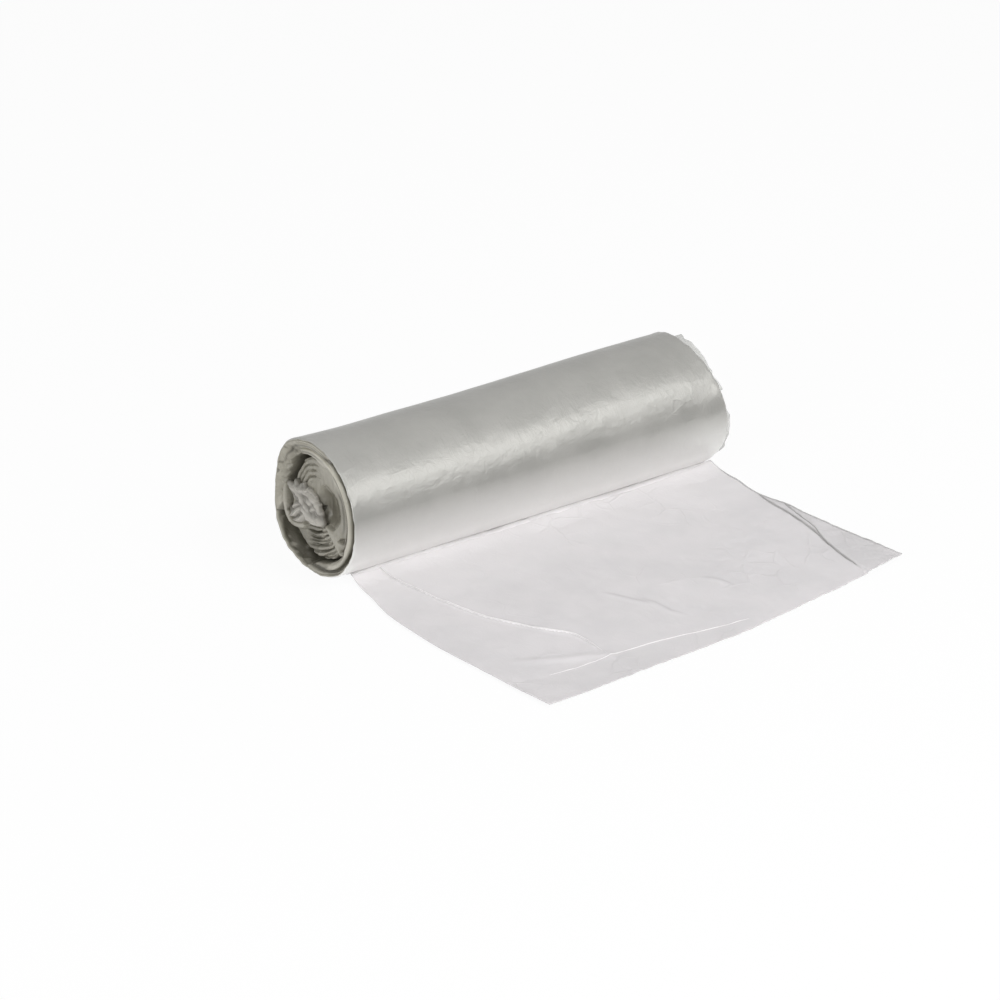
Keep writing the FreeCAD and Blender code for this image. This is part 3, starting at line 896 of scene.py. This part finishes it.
@dataclass
class CrushedLobe:
    """A lobe of crushed film that sprouts from the middle of an end."""

    form: RollForm
    finish: Film
    side: Side
    name: str
    centre: Point
    outline: Line
    crown: float
    half_deep: float
    crease_size: float
    seed: float
    ridges: tuple[Ridge, ...] = ()
    crease: float = 0.8

    def build(self) -> Piece:
        """Builds the lobe from a round form, pressed to its outline and crumpled.

        Returns:
            The piece.
        """
        bm = bmesh.new()
        bmesh.ops.create_icosphere(bm, subdivisions=6, radius=1.0)
        bearings = [math.atan2(up - self.centre[1], across - self.centre[0]) for across, up in self.outline]
        layer = bm.verts.layers.float.new(SHADE_AND_GREY)
        for vert in bm.verts:
            unit = vert.co.copy()
            bearing = math.atan2(unit.z, unit.x)
            bulge = min(1.0, math.hypot(unit.x, unit.z)) ** 0.8 * self.width(bearing, bearings)
            across = self.centre[0] + bulge * math.cos(bearing)
            up = self.centre[1] + bulge * math.sin(bearing)
            flatter = math.copysign(abs(unit.y) ** 0.6, unit.y)
            depth = self.crown + self.half_deep * (1.0 + flatter)
            lifted = self.folded(Vector((across, up, depth * 0.6)))
            depth -= lifted * (0.4 - 0.6 * unit.y)
            # Painted shade: darker in the valleys between creases, lighter on their ridges.
            vert[layer] = held(0.1 + (1.1 - lifted) * 0.5, 0.95)
            vert.co = Vector((self.side.value * (self.form.half - depth), -across, self.form.axis + up))
        bmesh.ops.recalc_face_normals(bm, faces=bm.faces)
        return dressed(bm, f"{self.name}_{self.side.name.lower()}", self.finish)

    def width(self, bearing: float, bearings: Sequence[float]) -> float:
        """Distance from the lobe's centre to its outline.

        Args:
            bearing: the way looked, in radians.
            bearings: the bearings of the outline's corners.

        Returns:
            The distance in millimetres.
        """
        reach, total = 0.0, 0.0
        for (across, up), corner in zip(self.outline, bearings):
            away = (corner - bearing + math.pi) % (2 * math.pi) - math.pi
            weight = hump(away, 0.13) + 1e-9
            total += weight
            reach += weight * math.hypot(across - self.centre[0], up - self.centre[1])
        return reach / total

    def folded(self, place: Vector) -> float:
        """How far the film stands up at a place: flat facets between sharp creases.

        Args:
            place: the place in millimetres.

        Returns:
            The height in millimetres.
        """
        bent = place + Vector((wobble(place, 6.0, 1.0), wobble(place, 6.0, 2.0), 0.0)) * 1.5
        spot = bent / self.crease_size + Vector((self.seed, -self.seed, self.seed * 0.5))
        distances, _ = noise.voronoi(spot)
        finer, _ = noise.voronoi(spot * 2.3)
        ridge = min(distances[1] - distances[0], 0.6)
        small = self.crease * (1.5 * ridge - 0.5 + 0.5 * (finer[1] - finer[0]))
        big = max([crease.lift(bent.x, bent.y) for crease in self.ridges] + [0.0])
        return small + big


@dataclass
class FilmLayer:
    """One loose layer of film that follows the lip inside or outside it, with a ragged edge."""

    form: RollForm
    finish: Film
    side: Side
    name: str
    out: float
    stand: float
    root: float
    first: float
    last: float
    thick: float = 0.2
    curl: float = 1.2
    seed: float = 1.0

    def build(self) -> Piece:
        """Builds the layer as a curved strip that fades in and out of the lip.

        Returns:
            The piece.
        """
        form = self.form
        bm = bmesh.new()
        sweep, start = math.radians(self.last - self.first), math.radians(self.first)
        around = max(24, int(abs(sweep) * self.out / 0.6))
        bmesh.ops.create_grid(bm, x_segments=20, y_segments=around, size=0.5)
        for vert in bm.verts:
            share, turn = vert.co.x + 0.5, vert.co.y + 0.5
            bearing = start + sweep * turn
            round_ = circled(bearing)
            fade = ease(0.0, 0.2, turn) * ease(0.0, 0.2, 1.0 - turn)
            ragged = 0.9 * wobble(round_, 8.0, self.seed) + 0.7 * wobble(round_, 3.0, self.seed)
            edge = fade * (self.stand + ragged)
            along_x = -self.root + (edge + self.root) * share
            out = self.out + self.curl * fade * share**3 * (0.6 + wobble(round_, 10.0, self.seed + 4.0))
            out += 0.4 * share * wobble(round_, 4.0, self.seed + 8.0)
            vert.co = form.point(self.side.value * (form.half + along_x), out, bearing)
            vert.co.z = max(vert.co.z, 0.05)
        bmesh.ops.recalc_face_normals(bm, faces=bm.faces)
        bmesh.ops.solidify(bm, geom=bm.faces[:], thickness=self.thick)
        bmesh.ops.recalc_face_normals(bm, faces=bm.faces)
        return dressed(bm, f"{self.name}_{self.side.name.lower()}", self.finish)


@dataclass
class DrawnBag:
    """The leading bag, drawn off from under the roll and laid flat in front of it."""

    form: RollForm
    finish: Film
    edge_highlight_finish: Film
    crease_shade_finish: Film
    rise_finish: Film
    thick: float = 0.35
    heap_at: float = 19.5
    heap_run: float = 15.0
    left_edge: Line = (
        (-116, 4), (-117.5, -22), (-120.6, -44), (-125.2, -68), (-126, -92),
        (-124.6, -122), (-122, -150), (-119.8, -176), (-117.3, -197.1),
    )
    right_edge: Line = (
        (129, 4), (131.6, -22), (131.4, -42), (129.2, -62), (130.6, -84),
        (133, -110), (135, -132), (138, -152), (140.6, -173),
    )
    front_edge: Line = (
        (-117.3, -197.1), (-80, -195.6), (-48, -194.6), (-16, -193.6), (16, -191.6),
        (48, -187.8), (80, -183), (112, -178.2), (140.6, -173),
    )
    upper_line: Line = (
        (-101, 4), (-99.5, -28), (-95.5, -60), (-91, -80), (-87.5, -94),
        (-82, -108), (-75, -122.5), (-68, -132.5), (-61.5, -142), (-59.8, -154), (-60.5, -172),
    )
    seal_line: Line = (
        (-104, -170.4), (-81, -172.4), (-62, -173), (-44, -173.6), (-31, -174.8),
        (-18.5, -176.8), (-1, -179), (14, -181), (30, -183),
    )
    fold_line: Line = (
        (129.6, -62), (126.4, -80), (125.6, -96), (123.2, -116), (118.2, -137), (114, -155),
        (111.5, -174),
    )
    soft_line: Line = ((-113, -143.5), (-97.5, -153), (-81, -161.4), (-66.8, -167.4), (-60.5, -172))
    rise_line: Line = (
        (-119, -20.6), (-70, -20.4), (0, -20.5), (60, -20.6), (132, -20.4),
    )
    wrinkles: tuple[Line, ...] = (
        ((-20, -110), (-15.5, -121), (-10, -133), (-6, -142)),
        ((-9, -126), (-5, -139), (-4, -151), (2, -163)),
        ((34, -128), (40, -137), (43, -149)),
    )
    pleat_line: Line = ((130.6, -84), (128.4, -99), (125.2, -117), (121, -128), (116.8, -141))

    def build(self) -> list[Piece]:
        """Builds the sheet and the beads of gathered film on it.

        Returns:
            The pieces.
        """
        beads = (
            ("bag_rise", self.rise_line, 4.4, 1.4, self.rise_finish),
            # The fold edge and the seal take a paler film: painted highlight.
            ("bag_fold_edge", self.upper_line, 1.2, 0.5, self.edge_highlight_finish),
            ("bag_bottom_seal", self.seal_line, 1.0, 0.35, self.edge_highlight_finish),
            # The side crease, pleat and edge take a darker film: painted shade.
            ("bag_side_crease", self.fold_line, 1.3, 0.6, self.crease_shade_finish),
            ("bag_side_pleat", self.pleat_line, 1.0, 0.5, self.crease_shade_finish),
            ("bag_side_edge", self.right_edge[1:], 1.3, 0.4, self.crease_shade_finish),
        )
        return [self.sheet(), *(self.bead(*bead) for bead in beads)]

    def bead(
        self, name: str, line: Sequence[Point], width: float, tall: float, finish: Film
    ) -> Piece:
        """Builds a narrow bead of gathered film: the seal, the edge of a fold or a crease that stands up.

        Args:
            name: the piece's name.
            line: the points that it follows on the bag.
            width: its width in millimetres.
            tall: how far it stands above the sheet.
            finish: its film.

        Returns:
            The piece.
        """
        bm = bmesh.new()
        length = sum(math.dist(a, b) for a, b in zip(line, line[1:]))
        bmesh.ops.create_grid(bm, x_segments=8, y_segments=int(length / 0.8), size=0.5)
        for vert in bm.verts:
            share, v = vert.co.y + 0.5, vert.co.x * 2.0
            x, y = along(line, share)
            ahead, behind = along(line, share + 0.01), along(line, share - 0.01)
            run = Vector((ahead[0] - behind[0], ahead[1] - behind[1], 0.0)).normalized()
            taper = ease(0.0, 0.12, share) * ease(0.0, 0.12, 1.0 - share)
            waver = wobble((x, y, 0.0), 9.0, width) + 0.5 * wobble((x, y, 0.0), 3.5, tall)
            swollen = 1.0 + 0.3 * wobble((x, y, 5.0), 6.0, width)
            across = v * 0.5 * width * taper * swollen + 0.12 * width * waver
            x, y = x - run.y * across, y + run.x * across
            crown = tall * taper * (1.0 - v * v) * (1.0 + 0.5 * wobble((x, y, 2.0), 5.0, tall))
            vert.co = Vector((x, y, self.height(x, y) + self.thick + crown - 0.12))
        faced(bm, (0.0, 0.0, 1.0))
        return dressed(bm, name, finish)

    def spot(self, across: float, ahead: float) -> Point:
        """The place on the floor of a point of the bag's grid.

        Args:
            across: from the left edge to the right one, nought to one.
            ahead: from the roll to the front edge, nought to one.

        Returns:
            The place along X and Y in millimetres.
        """
        left, right = along(self.left_edge, ahead), along(self.right_edge, ahead)
        ends = zip(left, right, along(self.front_edge, across), self.left_edge[-1], self.right_edge[-1])
        x, y = (
            (1 - across) * first + across * last + ahead * (front - (1 - across) * left - across * right)
            for first, last, front, left, right in ends
        )
        torn = ease(0.985, 1.0, ahead) * 0.5 * wobble((x, 0.0, 0.0), 3.1, 4.0)
        return x, y + torn

    def height(self, x: float, y: float) -> float:
        """Height of the film's underside above the floor.

        Args:
            x: place along the roll.
            y: place across the roll.

        Returns:
            The height in millimetres.
        """
        place = Vector((x, y, 0.0))
        free = ease(-14.0, -34.0, y)
        height = 0.25 + free * 0.6 * (1.0 + wobble(place, 34.0, 1.0))
        height += free * 0.35 * abs(wobble((x, y * 0.7, 9.0), 16.0, 2.0))
        height += self.heaped(x, y)
        height += free * 0.22 * (1.0 + wobble((x * 0.6, y, 0.0), 11.0, 5.0))
        side, share, gap = off_line(self.upper_line, x, y)
        height += 0.55 * ease(-0.9, 0.3, side) * ease(60.0, 0.0, side)
        crinkled = ease(-40.0, 20.0, x) * ease(-64.0, -90.0, y) * ease(-0.2, 0.3, wobble(place, 30.0, 6.0))
        height += 0.4 * crinkled * abs(wobble((x, y * 0.8, 7.0), 6.0, 3.0))
        height += 0.5 * hump(gap, 1.4) * ease(0.0, 0.1, share) * ease(1.0, 0.86, share)
        _, share, gap = off_line(self.soft_line, x, y)
        height += 0.9 * hump(gap, 3.2) * ease(0.0, 0.3, share)
        for line in self.wrinkles:
            _, share, gap = off_line(line, x, y)
            height += 0.6 * hump(gap, 1.8) * ease(0.0, 0.3, share) * ease(1.0, 0.7, share)
        side, share, _ = off_line(self.fold_line, x, y)
        height += 0.9 * ease(-0.6, 1.2, side) * ease(0.0, 0.25, share)
        crumpled = ease(0.0, 6.0, side) * ease(0.0, 0.2, share)
        height += crumpled * 0.5 * abs(wobble(place, 7.0, 3.0))
        return height

    def heaped(self, x: float, y: float) -> float:
        """How far the slack sheet is pushed up where it comes out from under the roll.

        Args:
            x: place along the roll.
            y: place across the roll.

        Returns:
            The height in millimetres.
        """
        form = self.form
        under = form.axis - math.sqrt(max(form.radius**2 - y * y, 0.0)) - 0.4
        crest = self.heap_at + 1.2 * wobble((x, 0.0, 0.0), 45.0, 2.0)
        top = form.axis - math.sqrt(form.radius**2 - crest**2) - 0.4
        if y > -crest:
            return max(0.0, under)
        fall = min(1.0, (-y - crest) / self.heap_run)
        return top * (1.0 - fall) ** 1.8

    def greyed(self, place: Vector) -> float:
        """How grey the film looks at a place: a greyer tone on the hem and the side fold, and painted shade
        beside the small wrinkles.

        Args:
            place: the place in millimetres.

        Returns:
            The share, from nought.
        """
        x, y = place.x, place.y
        side, share, _ = off_line(self.fold_line, x, y)
        grey = 0.14 + 0.12 * max(0.0, wobble(place, 8.0, 2.0))
        grey *= ease(-1.0, 3.0, side) * ease(0.0, 0.15, share)
        side, share, _ = off_line(self.seal_line, x, y)
        grey += 0.1 * ease(0.5, 2.5, -side) * ease(1.0, 0.6, share) * ease(-166.0, -169.0, y)
        for line in self.wrinkles:
            # Painted shade along one side of each small wrinkle.
            _, share, gap = off_line([(px + 1.6, py - 0.4) for px, py in line], x, y)
            grey += 0.22 * hump(gap, 1.1) * ease(0.0, 0.3, share) * ease(1.0, 0.7, share)
        return grey

    def sheet(self) -> Piece:
        """Builds the sheet that lies on the floor.

        Returns:
            The piece.
        """
        bm = bmesh.new()
        bmesh.ops.create_grid(bm, x_segments=230, y_segments=176, size=0.5)
        for vert in bm.verts:
            across, ahead = vert.co.x + 0.5, 0.5 - vert.co.y
            x, y = self.spot(across, ahead)
            vert.co = Vector((x, y, self.height(x, y)))
        marked(bm, self.greyed)
        faced(bm, (0.0, 0.0, 1.0))
        piece = dressed(bm, "drawn_off_bag", self.finish)
        wall = piece.modifiers.new("film", "SOLIDIFY")
        wall.thickness = self.thick * MM
        wall.offset = 1.0
        return piece


@dataclass
class Studio:
    """A plain pale floor, soft light and the camera of the photograph's view."""

    target: Place = (8.6, 16.3, 0.0)
    azimuth: float = 36.3
    elevation: float = 24.94
    distance: float = 2039.0
    lens: float = 130.7
    sensor: float = 36.0
    strip_power: float = 4.5
    top_power: float = 9.0
    front_power: float = 8.0
    high_power: float = 15.0
    end_power: float = 8.5
    sky: float = 0.26
    card_grey: float = 0.66
    flag_grey: float = 0.03
    floor_size: float = 8.0
    floor_drop: float = 0.0004
    floor_grey: float = 0.86
    floor_glow: float = 0.94

    def build(self) -> None:
        """Sets the floor, the lamps, the cards, the world and the camera."""
        self.floor()
        for name, place, size, power in (
            ("strip_soft", (0.62, -1.07, 0.84), (1.7, 0.5), self.strip_power),
            ("top_soft", (-0.2, 0.2, 1.8), (1.8, 1.8), self.top_power),
            ("front_soft", (0.1, -1.6, 0.25), (2.2, 0.4), self.front_power),
            ("high_soft", (0.3, -1.2, 1.2), (0.8, 0.5), self.high_power),
            ("end_soft", (-1.5, -0.56, 0.56), (0.6, 0.6), self.end_power),
        ):
            lamp = self.lamp(name, place, size, power)
            lamp.visible_diffuse = name != "strip_soft"
            lamp.visible_glossy = name in ("strip_soft", "end_soft")
        self.card("card_front", self.plane((1.5, 0.42), 160.0, (0.32, -0.41, 0.076)), self.flag_grey)
        self.card("card_top", self.plane((3.2, 1.9), 0.0, (0.8, 0.15, 0.9)), self.card_grey)
        self.card("card_back", self.plane((3.2, 0.84), 90.0, (0.8, 1.1, 0.47)), self.card_grey)
        self.world()
        self.camera()
        bpy.context.scene.view_settings.view_transform = "Standard"

    def plane(self, size: Point, tilt: float, place: Place) -> Shape:
        """A plain rectangle.

        Args:
            size: its length along X and its other side, in metres.
            tilt: how far it is turned up from lying flat, in degrees.
            place: its middle, in metres.

        Returns:
            The shape.
        """
        bm = bmesh.new()
        bmesh.ops.create_grid(bm, x_segments=1, y_segments=1, size=0.5)
        bmesh.ops.scale(bm, verts=bm.verts, vec=(*size, 1.0))
        turn = Matrix.Rotation(math.radians(tilt), 3, "X")
        bmesh.ops.rotate(bm, verts=bm.verts, cent=(0.0, 0.0, 0.0), matrix=turn)
        bmesh.ops.translate(bm, verts=bm.verts, vec=place)
        return bm

    def floor(self) -> None:
        """The floor, which shows white and keeps a faint shadow."""
        made = bpy.data.materials.new("studio_floor")
        nodes = Shading.of(made)
        paint = nodes.coloured("ShaderNodeBsdfDiffuse", self.floor_grey)
        glow = nodes.coloured("ShaderNodeEmission", 1.0)
        share = nodes.calculated("MULTIPLY", self.seen(nodes), self.floor_glow)
        nodes.finish("ShaderNodeOutputMaterial", nodes.blended(share, paint, glow))
        bm = self.plane((self.floor_size, self.floor_size), 0.0, (0.0, 0.0, -self.floor_drop))
        floor = placed(bm, "studio_floor", made)

    def seen(self, nodes: Shading) -> Socket:
        """Marks the rays that show the background: seen by the camera, mirrored or looked through.

        Args:
            nodes: the nodes of the floor or the world.

        Returns:
            A value that is one for such a ray.
        """
        path = nodes.add("ShaderNodeLightPath").outputs
        either = nodes.calculated("MAXIMUM", path["Is Camera Ray"], path["Is Glossy Ray"])
        return nodes.calculated("MAXIMUM", either, path["Is Transmission Ray"])

    def card(self, name: str, bm: Shape, grey: float) -> None:
        """A grey card that only the gloss of the film mirrors, as a studio's flags do.

        Args:
            name: the card's name.
            bm: its shape.
            grey: how bright it looks.
        """
        made = bpy.data.materials.new(name)
        nodes = Shading.of(made)
        nodes.finish("ShaderNodeOutputMaterial", nodes.coloured("ShaderNodeEmission", grey))
        card = placed(bm, name, made)
        card.visible_camera = card.visible_diffuse = card.visible_shadow = False

    def lamp(
        self, name: str, place: Place, size: Point, power: float
    ) -> Piece:
        """One soft lamp that faces the object.

        Args:
            name: the lamp's name.
            place: where it stands, in metres.
            size: its width and height in metres.
            power: its power in watts.

        Returns:
            The lamp.
        """
        data = bpy.data.lights.new(name, "AREA")
        data.shape = "RECTANGLE"
        data.size, data.size_y = size
        data.energy = power
        lamp = bpy.data.objects.new(name, data)
        lamp.location = place
        lamp.rotation_mode = "QUATERNION"
        lamp.rotation_quaternion = Vector(place).to_track_quat("Z", "Y")
        bpy.context.scene.collection.objects.link(lamp)
        return lamp

    def world(self) -> None:
        """The surroundings: white where they are seen and a plain grey light elsewhere."""
        world = bpy.data.worlds.new("studio")
        bpy.context.scene.world = world
        nodes = Shading.of(world)
        grey = nodes.coloured("ShaderNodeBackground", 1.0, self.sky)
        white = nodes.coloured("ShaderNodeBackground", 1.0)
        nodes.finish("ShaderNodeOutputWorld", nodes.blended(self.seen(nodes), grey, white))

    def camera(self) -> None:
        """The camera of the photograph's view."""
        a, e = math.radians(self.azimuth), math.radians(self.elevation)
        ahead = Vector((math.sin(a) * math.cos(e), math.cos(a) * math.cos(e), -math.sin(e)))
        data = bpy.data.cameras.new("camera")
        data.lens = self.lens
        data.sensor_width = self.sensor
        camera = bpy.data.objects.new("camera", data)
        camera.location = (Vector(self.target) - ahead * self.distance) * MM
        camera.rotation_mode = "QUATERNION"
        camera.rotation_quaternion = ahead.to_track_quat("-Z", "Y")
        bpy.context.scene.collection.objects.link(camera)
        bpy.context.scene.camera = camera


def lower_gaps(rows: int = 5) -> tuple[Stroke, ...]:
    """The thin gaps between the wavy turns in the lower part of an end.

    Args:
        rows: how many there are.

    Returns:
        The gaps, top to bottom.
    """
    made = []
    for k in range(rows):
        start = (-14.5 + 2.5 * k, -18.4 - 3.2 * k)
        middle = (-4.5 + 2.2 * k, -19.6 - 2.6 * k)
        end = (1.5 + 2.8 * k, -12.4 - 2.9 * k)
        made.append(Stroke((start, middle, end), 0.5, 2.4, 0.35))
    return tuple(made)


def main() -> None:
    """Builds every piece of the roll and the studio."""
    logging.basicConfig(level=logging.INFO, format="%(message)s")
    form = RollForm()
    # The roll's film gets paler toward the floor: painted light.
    outer = FilmFinish(
        "roll_film", (0.425, 0.42, 0.398), (0.385, 0.381, 0.36), roughness=0.36, crinkle=0.4,
        crinkle_size=6.0, crease=0.12, crease_size=15.0, mirror=0.5, streak=0.45,
        painted_light_colour=(0.87, 0.865, 0.845),
    ).material()
    # End film: its darker colour is painted shade in the ends' recesses and gaps.
    turned = FilmFinish(
        "end_film", (0.592, 0.567, 0.49), (0.464, 0.442, 0.369), crinkle=0.45, crinkle_size=4.0,
        shade_and_grey_colour=(0.085, 0.078, 0.056),
    ).material()
    # Crushed film: its darker colour is painted shade in the valleys.
    crushed = FilmFinish(
        "crushed_film", (0.5, 0.478, 0.435), (0.4, 0.38, 0.34), roughness=0.3, crinkle=0.5,
        crinkle_size=3.0, shade_and_grey_colour=(0.1, 0.094, 0.075),
    ).material()
    sheer = FilmFinish("loose_film", (0.6, 0.6, 0.58), (0.5, 0.5, 0.47), roughness=0.3, clear=0.5).material()
    # The drawn bag gets paler toward the roll: painted light. Its darker colour is painted shade beside the
    # wrinkles and a greyer tone on the side fold and hem.
    drawn = FilmFinish(
        "drawn_film", (0.73, 0.7, 0.712), (0.675, 0.65, 0.662), roughness=0.36, specular=0.5,
        crinkle=0.5, crinkle_size=10.0, crease=0.5, crease_size=18.0, clear=0.45,
        painted_light_colour=(0.86, 0.832, 0.843), painted_light_axis="Y", painted_light_span=(-0.072, -0.02),
        shade_and_grey_colour=(0.2, 0.195, 0.19),
    ).material()
    # A paler film for the fold edge and seal beads: painted highlight.
    gathered = FilmFinish(
        "edge_highlight_film", (0.88, 0.86, 0.865), (0.8, 0.78, 0.785), roughness=0.3, crinkle=0.3, clear=0.2
    ).material()
    risen = FilmFinish(
        "risen_film", (0.75, 0.73, 0.735), (0.71, 0.69, 0.695), roughness=0.36, crinkle=0.2, clear=0.1
    ).material()
    # A darker film for the side crease, pleat and edge beads: painted shade.
    shaded = FilmFinish(
        "crease_shade_film", (0.44, 0.43, 0.425), (0.36, 0.352, 0.348), crinkle=0.4, clear=0.25
    ).material()

    WoundFilm(form, outer, turned).build()
    gaps = lower_gaps() + (
        Stroke(((16, -14.5), (20, -14), (22.5, -12)), 1.3, 4),
        Stroke(((2, -9.6), (8, -10.4), (13, -8.6)), 0.9, 3),
        Stroke(((3.5, 14.5), (6, 13), (8, 10)), 0.55, 2),
        Stroke(((1.5, 12.8), (4, 11.5), (6, 8.8)), 0.55, 2),
    )
    folds = (
        Stroke(((-31, 3), (-34.5, -13), (-25.5, -18.4)), 1.5, 2, 0.1),
        Stroke(((-27.5, -18.4), (-20, -19), (-13.5, -15.5)), 1.6, 2.6, 0.1),
        Stroke(((5.5, -9.5), (12.5, -13.5), (19, -21.5)), 2.2, 3.9, 0.3),
    )
    knot = (
        (-31.5, 3.2), (-23.5, 6.8), (-16, 8.6), (-9, 8.6), (-4.4, 7), (-1, 4.2), (2, 0.6),
        (4, -3.6), (5.6, -8.8), (-1, -11.4), (-6, -11.6), (-11.4, -9.4), (-16.4, -6.6), (-19.6, -4.4),
        (-24.4, -0.4),
    )
    tuft = (
        (-30, -14), (-27.5, -17.6), (-21, -18), (-15, -14), (-12, -9), (-14.5, -5),
        (-21.5, -4), (-26.5, -8),
    )
    knot_ridges = (
        Ridge(((-21, 4.6), (-14, 6.4), (-7, 7.4)), 1.7, 1.3, 0.5),
        Ridge(((-12, 5.6), (-6, 5.4), (-1, 2.2), (2.4, -3)), 2.7, 1.3, 0.9),
        Ridge(((-9, 8), (-3.4, 7), (1.2, 3.6), (4.4, -2)), 2, 1.2, 1.2),
        Ridge(((-14, -6), (-8, -9.6), (-2, -10.6), (5, -8.8)), 2.8, 0.6, 1.8),
        Ridge(((-28, 4.4), (-19.5, 2.6), (-13, 0.8)), 2, 0.8, 0.9),
        Ridge(((-17, 3.2), (-12.5, -3)), 1.7, 0.8, 1.2),
        Ridge(((-9, 2.4), (-4, -0.6)), 1.7, 0.8, 1.5),
        Ridge(((-6, -4), (0, -2)), 1.7, 0.9, 1.5),
        Ridge(((-12, -2.2), (-8, -6.4)), 1.6, 0.8, 1.4),
        Ridge(((-3, -7.4), (2, -6.6)), 1.5, 1, 1.4),
    )
    tuft_ridges = (
        Ridge(((-28, -15), (-22, -11.5), (-16, -6)), 2.6, 0.9, 1.4),
        Ridge(((-24, -17), (-17.5, -13.5), (-12.5, -8)), 2.5, 1.3, 1),
        Ridge(((-26, -9.5), (-20, -5)), 1.8, 0.8, 1.3),
    )
    for side in Side:
        lean = 0.0 if side is Side.NEAR else 2.2
        EndTurns(form, turned, side, lean=lean, gaps=gaps, folds=folds).build()
        for lobe_sizes in (
            ("core_knot", (-9.0, -0.5), knot, 1.7, 2.2, 5.0, 2.0, knot_ridges),
            ("core_tuft", (-21.0, -11.0), tuft, 3.0, 3.6, 4.5, 5.0, tuft_ridges),
        ):
            CrushedLobe(form, crushed, side, *lobe_sizes).build()
    FilmLayer(form, sheer, Side.FAR, "loose_top", 38.0, -3.4, 12.0, 26.0, 96.0, seed=3.0).build()
    FilmLayer(form, sheer, Side.FAR, "loose_front", 37.8, 2.6, 10.0, -42.0, 12.0, seed=7.0).build()
    DrawnBag(form, drawn, gathered, shaded, risen).build()
    Studio().build()


if __name__ == "__main__":
    main()
